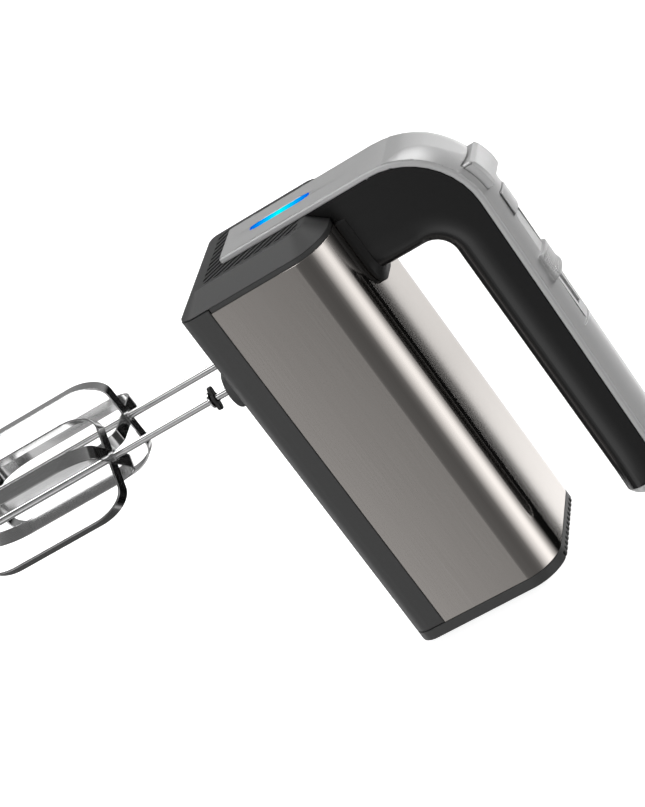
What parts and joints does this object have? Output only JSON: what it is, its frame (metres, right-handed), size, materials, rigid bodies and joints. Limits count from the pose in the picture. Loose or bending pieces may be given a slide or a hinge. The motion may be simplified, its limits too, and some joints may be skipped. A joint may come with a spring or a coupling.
{
  "type": "hand mixer",
  "caption": "Two-beater electric hand mixer with a brushed steel body, black grip, silver handle cover, light bar, speed slider and beater eject button, stood on its heel.",
  "frame": {"origin": "middle of the outline, on the heel plane that the mixer stands on", "axes": "+Z from the heel to the nose, +X from the beaters to the handle, +Y to the mixer's right-hand side"},
  "size_m": [0.318, 0.0892, 0.2128],
  "materials": {
    "brushed_skin": "brushed stainless, grain along the body",
    "body_plastic": "fine satin moulding",
    "inner_plastic": "moulded",
    "silver_cover": "metallic silver paint on plastic",
    "black_grip": "satin black",
    "rubber_trim": "smooth",
    "light_lens": "translucent blue",
    "circuit_board": "solder mask",
    "beater_steel": "polished",
    "black_wing": "moulded",
    "gear_nylon": "natural nylon",
    "bright_steel": "turned",
    "bronze": "sintered",
    "lamination": "stacked sheet",
    "copper_wire": "varnished copper",
    "carbon": "carbon",
    "wire_jacket": "silicone sleeve"
  },
  "bodies": {
    "mixer_body": {"base_housing": "body_plastic", "base_screws": "bright_steel", "brush_bracket": "inner_plastic", "brush_holders": "bronze", "brush_springs": "bright_steel", "carbon_brushes": "carbon", "control_board": "circuit_board", "cord_gland": "rubber_trim", "field_coils": "copper_wire", "front_cap": "body_plastic", "gearbox_plate": "inner_plastic", "gearbox_screws": "bright_steel", "handle_end_cap": "silver_cover", "handle_grip": "black_grip", "handle_top_cover": "silver_cover", "heel_feet": "rubber_trim", "led_board": "circuit_board", "led_light_bar": "light_lens", "mains_lead": "wire_jacket", "motor_bolts": "bright_steel", "motor_leads": "wire_jacket", "neck_gasket": "rubber_trim", "neck_screws": "bright_steel", "rear_bracket": "inner_plastic", "rear_cap": "body_plastic", "shaft_bushes": "bronze", "slider_track": "silver_cover", "speed_switch": "inner_plastic", "spindle_bushes": "bronze", "stator_core": "lamination", "steel_wrap": "brushed_skin", "strip_screws": "bright_steel", "turbo_switch": "inner_plastic", "upper_housing": "inner_plastic"},
    "armature": {"armature_shaft": "bright_steel", "armature_core": "lamination", "armature_winding": "copper_wire", "commutator": "copper_wire", "cooling_fan": "gear_nylon"},
    "spindle_left": {"spindle_left": "bright_steel", "gear_left": "gear_nylon"},
    "spindle_right": {"spindle_right": "bright_steel", "gear_right": "gear_nylon"},
    "ejector": {"eject_button": "silver_cover", "ejector_rod": "inner_plastic", "ejector_yoke": "inner_plastic", "eject_spring": "bright_steel"},
    "pin_left": {"ejector_pin_left": "bright_steel"},
    "pin_right": {"ejector_pin_right": "bright_steel"},
    "beater_left": {"beater_shaft_left": "beater_steel", "beater_outer_loop_left": "beater_steel", "beater_inner_loop_left": "beater_steel", "beater_collar_left": "beater_steel", "beater_wing_left": "black_wing"},
    "beater_right": {"beater_shaft_right": "beater_steel", "beater_outer_loop_right": "beater_steel", "beater_inner_loop_right": "beater_steel"},
    "turbo": {"turbo_button": "silver_cover", "turbo_spring": "bright_steel"},
    "speed_slider": {"speed_slider": "silver_cover"}
  },
  "joints": [
    {"name": "armature_spin", "type": "hinge", "parent": "mixer_body", "child": "armature", "pos_m": [0.0399, -0.00213, 0.1], "axis": [0, 0, 1], "continuous": true},
    {"name": "spindle_left_spin", "type": "hinge", "parent": "mixer_body", "child": "spindle_left", "pos_m": [0.0239, -0.0223, 0.1569], "axis": [1, 0, 0], "continuous": true},
    {"name": "spindle_right_spin", "type": "hinge", "parent": "mixer_body", "child": "spindle_right", "pos_m": [0.0239, 0.01804, 0.1569], "axis": [1, 0, 0], "continuous": true},
    {"name": "eject_press", "type": "slide", "parent": "mixer_body", "child": "ejector", "axis": [-1, 0, 0], "range_m": [0, 0.004], "stiffness_N_per_m": 900},
    {"name": "pin_left_push", "type": "slide", "parent": "spindle_left", "child": "pin_left", "axis": [-1, 0, 0], "range_m": [0, 0.004]},
    {"name": "pin_right_push", "type": "slide", "parent": "spindle_right", "child": "pin_right", "axis": [-1, 0, 0], "range_m": [0, 0.004]},
    {"name": "beater_left_pull", "type": "slide", "parent": "pin_left", "child": "beater_left", "axis": [-1, 0, 0], "range_m": [0, 0.05]},
    {"name": "beater_right_pull", "type": "slide", "parent": "pin_right", "child": "beater_right", "axis": [-1, 0, 0], "range_m": [0, 0.05]},
    {"name": "turbo_press", "type": "slide", "parent": "mixer_body", "child": "turbo", "axis": [-1, 0, 0], "range_m": [0, 0.0016], "stiffness_N_per_m": 600},
    {"name": "speed_slide", "type": "slide", "parent": "mixer_body", "child": "speed_slider", "axis": [0, 0, -1], "range_m": [0, 0.018]}
  ],
  "couplings": [
    {"joint": "spindle_left_spin", "follows": "armature_spin", "ratio": -0.0625},
    {"joint": "spindle_right_spin", "follows": "armature_spin", "ratio": 0.0625},
    {"joint": "pin_left_push", "follows": "eject_press", "ratio": 1},
    {"joint": "pin_right_push", "follows": "eject_press", "ratio": 1}
  ]
}
